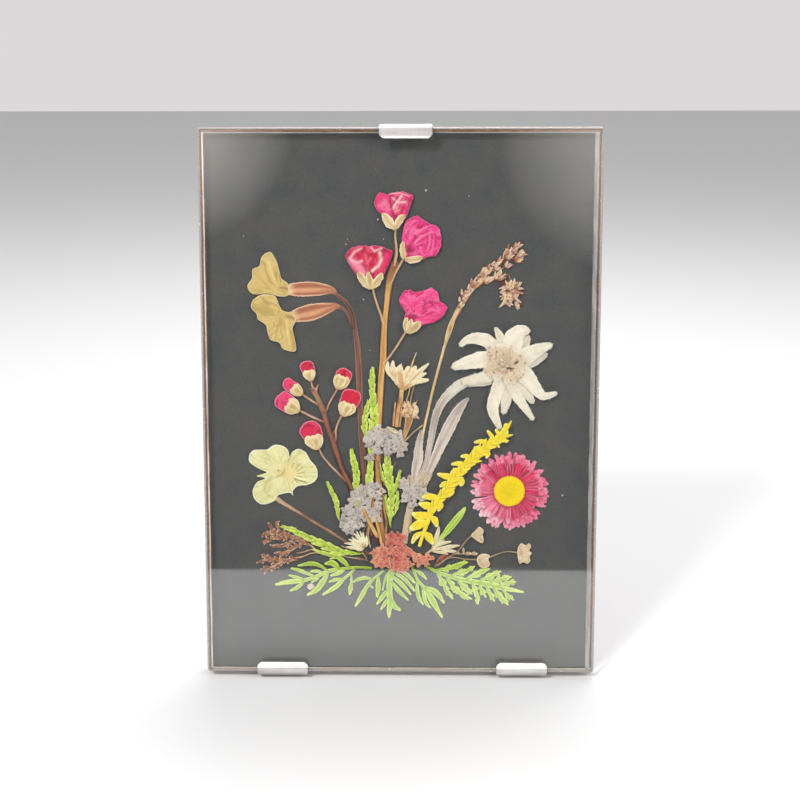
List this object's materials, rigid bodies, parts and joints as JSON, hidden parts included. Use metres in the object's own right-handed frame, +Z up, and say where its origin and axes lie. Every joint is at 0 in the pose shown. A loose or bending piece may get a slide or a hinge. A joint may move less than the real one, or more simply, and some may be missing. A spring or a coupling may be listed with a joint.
{
  "type": "pressed flower frame",
  "caption": "Small clip picture frame that leans on a folding strut, with a bouquet of pressed wild flowers under its glass on a dark card.",
  "frame": {"origin": "on the table, in the middle of the footprint of the standing frame", "axes": "+Z up; the glass faces -Y and the strut stands out towards +Y; +X is the picture's right"},
  "size_m": [0.13, 0.0516, 0.1803],
  "materials": {
    "glass": "clear polished glass",
    "dark_card": "matt charcoal card",
    "hardboard": "brown hardboard",
    "clip_steel": "bright nickelled spring steel",
    "hinge_steel": "zinc-plated steel",
    "brown_stem": "dried plant stem",
    "golden_stem": "dried plant stem",
    "ochre_petal": "pressed petals",
    "pink_petal": "pressed petals",
    "crimson_bud": "pressed buds",
    "pale_petal": "pressed petals",
    "brown_grass": "dry grass",
    "lime_leaf": "pressed leaves",
    "silver_floret": "woolly grey florets",
    "straw": "dry straw-like bracts",
    "beige": "dried small flowers",
    "rush": "dry spikelets and stem",
    "woolly_stem": "woolly grey stem",
    "woolly_bract": "woolly white bracts",
    "yellow_leaf": "pressed yellow leaves",
    "daisy_ray": "pressed petals",
    "daisy_disc": "dense yellow florets",
    "coral_petal": "pressed petals"
  },
  "bodies": {
    "frame": {"glass_pane": "glass", "backing_card": "dark_card", "back_board": "hardboard", "clip_top": "clip_steel", "clip_bottom_left": "clip_steel", "clip_bottom_right": "clip_steel", "hinge_plate": "hinge_steel", "hinge_pin": "hinge_steel", "cowslip_stem": "brown_stem", "bud_spray_stem": "brown_stem", "primrose_stem": "brown_stem", "pink_spray_stem": "golden_stem", "golden_stem": "golden_stem", "cowslip_flower_upper": "ochre_petal", "cowslip_flower_lower": "ochre_petal", "pink_flower_top": "pink_petal", "pink_flower_right": "pink_petal", "pink_flower_left": "pink_petal", "pink_flower_low": "pink_petal", "bud_top": "crimson_bud", "bud_left_upper": "crimson_bud", "bud_left_lower": "crimson_bud", "bud_right_upper": "crimson_bud", "bud_right_lower": "crimson_bud", "bud_low": "crimson_bud", "primrose_flower": "pale_petal", "brown_spray_upper": "brown_grass", "brown_spray_lower": "brown_grass", "green_sprig_tall": "lime_leaf", "green_sprig_side": "lime_leaf", "green_sprig_small": "lime_leaf", "green_sprig_centre": "lime_leaf", "green_sprig_low": "lime_leaf", "narrow_leaf": "lime_leaf", "feather_leaf_left": "lime_leaf", "feather_leaf_middle_left": "lime_leaf", "feather_leaf_middle": "lime_leaf", "feather_leaf_middle_right": "lime_leaf", "feather_leaf_right": "lime_leaf", "silver_cluster_top": "silver_floret", "silver_cluster_left": "silver_floret", "silver_cluster_right": "silver_floret", "straw_star": "straw", "straw_tuft": "straw", "straw_bracts": "straw", "cream_star": "straw", "beige_spray": "beige", "beige_spray_right": "beige", "edelweiss_centre": "beige", "rush_stem": "rush", "rush_tuft_low": "rush", "edelweiss_stem": "woolly_stem", "edelweiss_bracts": "woolly_bract", "yellow_sprig": "yellow_leaf", "daisy_rays": "daisy_ray", "daisy_centre": "daisy_disc", "coral_flowers": "coral_petal"},
    "strut": {"strut_leg": "hardboard", "hinge_leaf": "hinge_steel"}
  },
  "joints": [
    {"name": "strut_hinge", "type": "hinge", "parent": "frame", "child": "strut", "pos_m": [0, 0.00499, 0.11478], "axis": [-1, 0, 0], "range_deg": [0, 20]}
  ]
}
